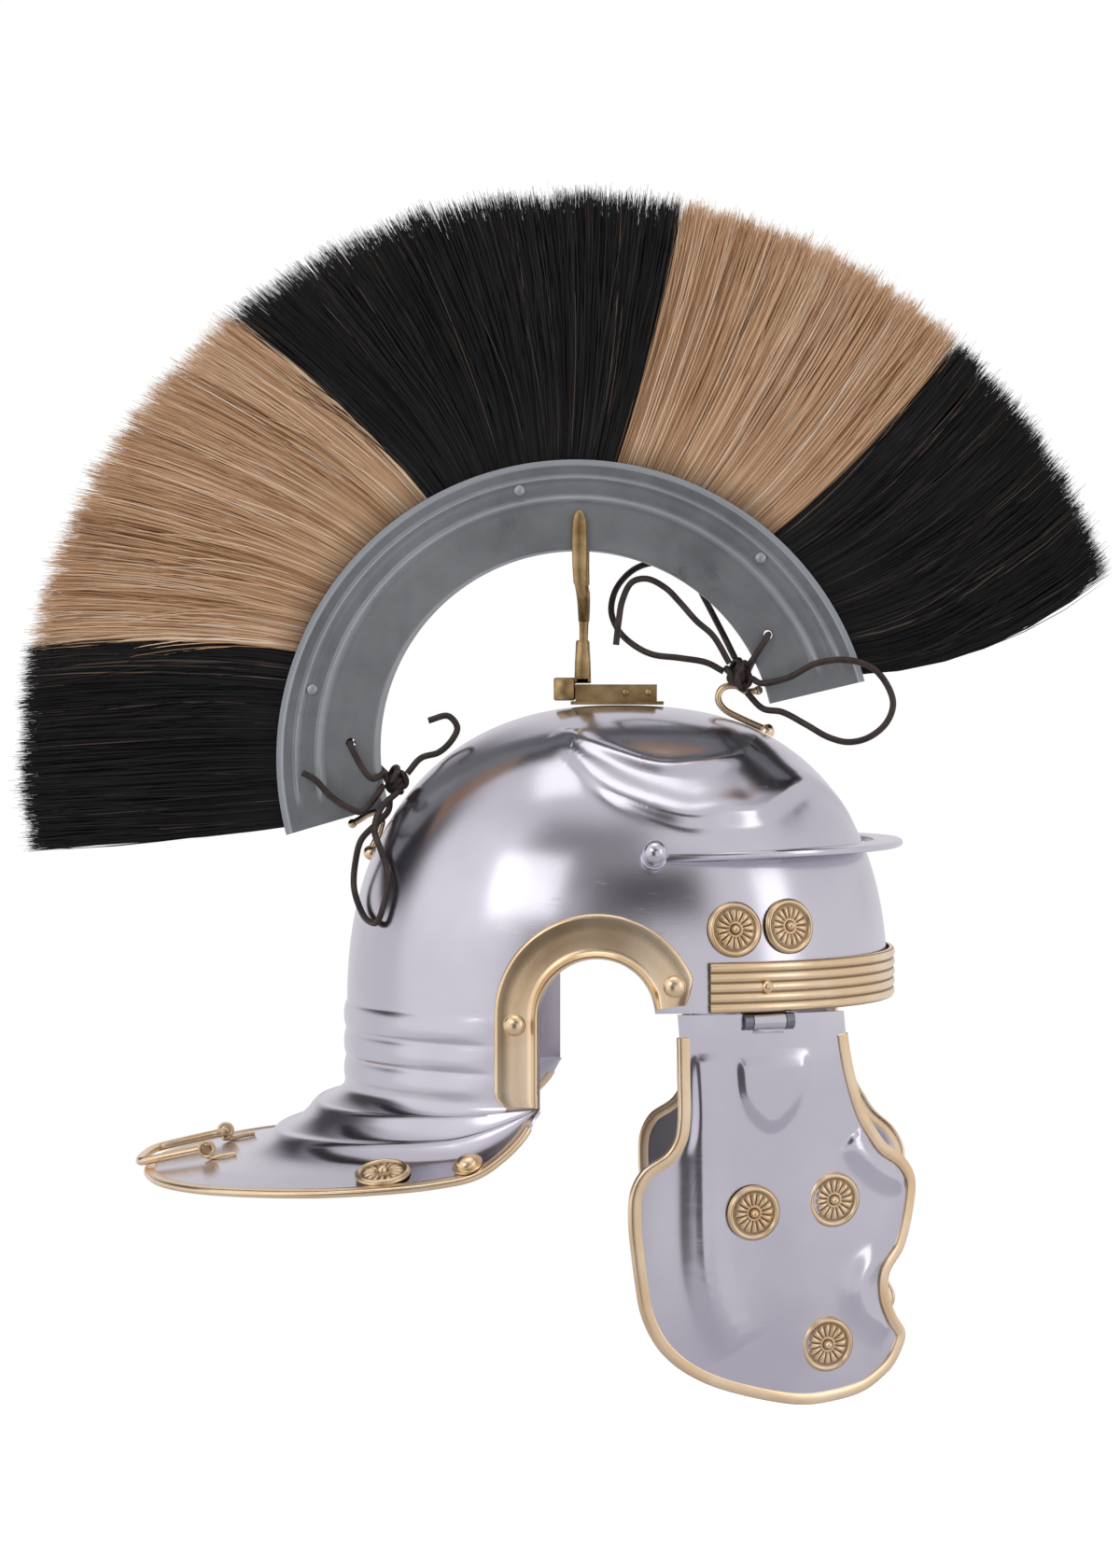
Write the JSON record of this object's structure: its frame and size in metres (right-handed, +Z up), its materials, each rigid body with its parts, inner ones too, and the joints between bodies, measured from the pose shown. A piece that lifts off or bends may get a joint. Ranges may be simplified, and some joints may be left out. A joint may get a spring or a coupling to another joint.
{
  "type": "roman legionary helmet",
  "caption": "Legionary helmet with a domed steel bowl, sloping neck guard, hinged cheek pieces, brass edging and a fan-shaped hair crest on a fork.",
  "frame": {"origin": "where the head sits: on the middle plane at the height of the brow rim", "axes": "+X towards the brow, +Y towards the wearer's left, +Z up"},
  "size_m": [0.4689, 0.2388, 0.5162],
  "materials": {
    "polished_steel": "polished",
    "brass": "polished",
    "old_brass": "aged",
    "sheet_steel": "satin",
    "black_hair": "natural hair",
    "tan_hair": "natural hair",
    "leather": "round lace"
  },
  "bodies": {
    "root": {"bowl": "polished_steel", "brow_bar": "polished_steel", "brow_band": "brass", "neck_trim": "brass", "hook_front": "brass", "hook_rear": "brass", "crest_base": "old_brass", "crest_fork": "old_brass", "crest_box": "sheet_steel", "hair_black_front": "black_hair", "hair_black_top": "black_hair", "hair_black_rear": "black_hair", "hair_tan_front": "tan_hair", "hair_tan_rear": "tan_hair", "lace_front_knot": "leather", "lace_rear_knot": "leather", "lace_front_loop": "leather", "lace_front_bow": "leather", "lace_front_tail": "leather", "lace_front_tie_right": "leather", "lace_front_tie_left": "leather", "lace_rear_loop": "leather", "lace_rear_tail_out": "leather", "lace_rear_tail_in": "leather", "lace_rear_tie_right": "leather", "lace_rear_tie_left": "leather", "brow_band_pin_right": "brass", "ear_guard_right": "brass", "ear_rivet_front_right": "brass", "ear_rivet_rear_right": "brass", "bowl_rosette_rear_right": "brass", "bowl_rosette_front_right": "brass", "neck_rosette_right": "brass", "neck_clip_right": "brass", "handle_eye_right": "brass", "brow_bar_rivet_right": "polished_steel", "hinge_right": "polished_steel", "brow_band_pin_left": "brass", "ear_guard_left": "brass", "ear_rivet_front_left": "brass", "ear_rivet_rear_left": "brass", "bowl_rosette_rear_left": "brass", "bowl_rosette_front_left": "brass", "neck_rosette_left": "brass", "neck_clip_left": "brass", "handle_eye_left": "brass", "brow_bar_rivet_left": "polished_steel", "hinge_left": "polished_steel"},
    "cheek_right": {"cheek_right": "polished_steel", "cheek_trim_right": "brass", "cheek_rosette_rear_right": "brass", "cheek_rosette_front_right": "brass", "cheek_rosette_low_right": "brass"},
    "cheek_left": {"cheek_left": "polished_steel", "cheek_trim_left": "brass", "cheek_rosette_rear_left": "brass", "cheek_rosette_front_left": "brass", "cheek_rosette_low_left": "brass"},
    "handle": {"carry_handle": "brass"}
  },
  "joints": [
    {"name": "cheek_swing_right", "type": "hinge", "parent": "root", "child": "cheek_right", "pos_m": [0.0635, -0.08629, 0.001], "axis": [-0.9397, -0.342, 0], "range_deg": [-10, 95]},
    {"name": "cheek_swing_left", "type": "hinge", "parent": "root", "child": "cheek_left", "pos_m": [0.0635, 0.08629, 0.001], "axis": [0.9397, -0.342, 0], "range_deg": [-10, 95]},
    {"name": "handle_swing", "type": "hinge", "parent": "root", "child": "handle", "pos_m": [-0.179, 0, -0.06137], "axis": [0, 1, 0], "range_deg": [0, 150]}
  ]
}
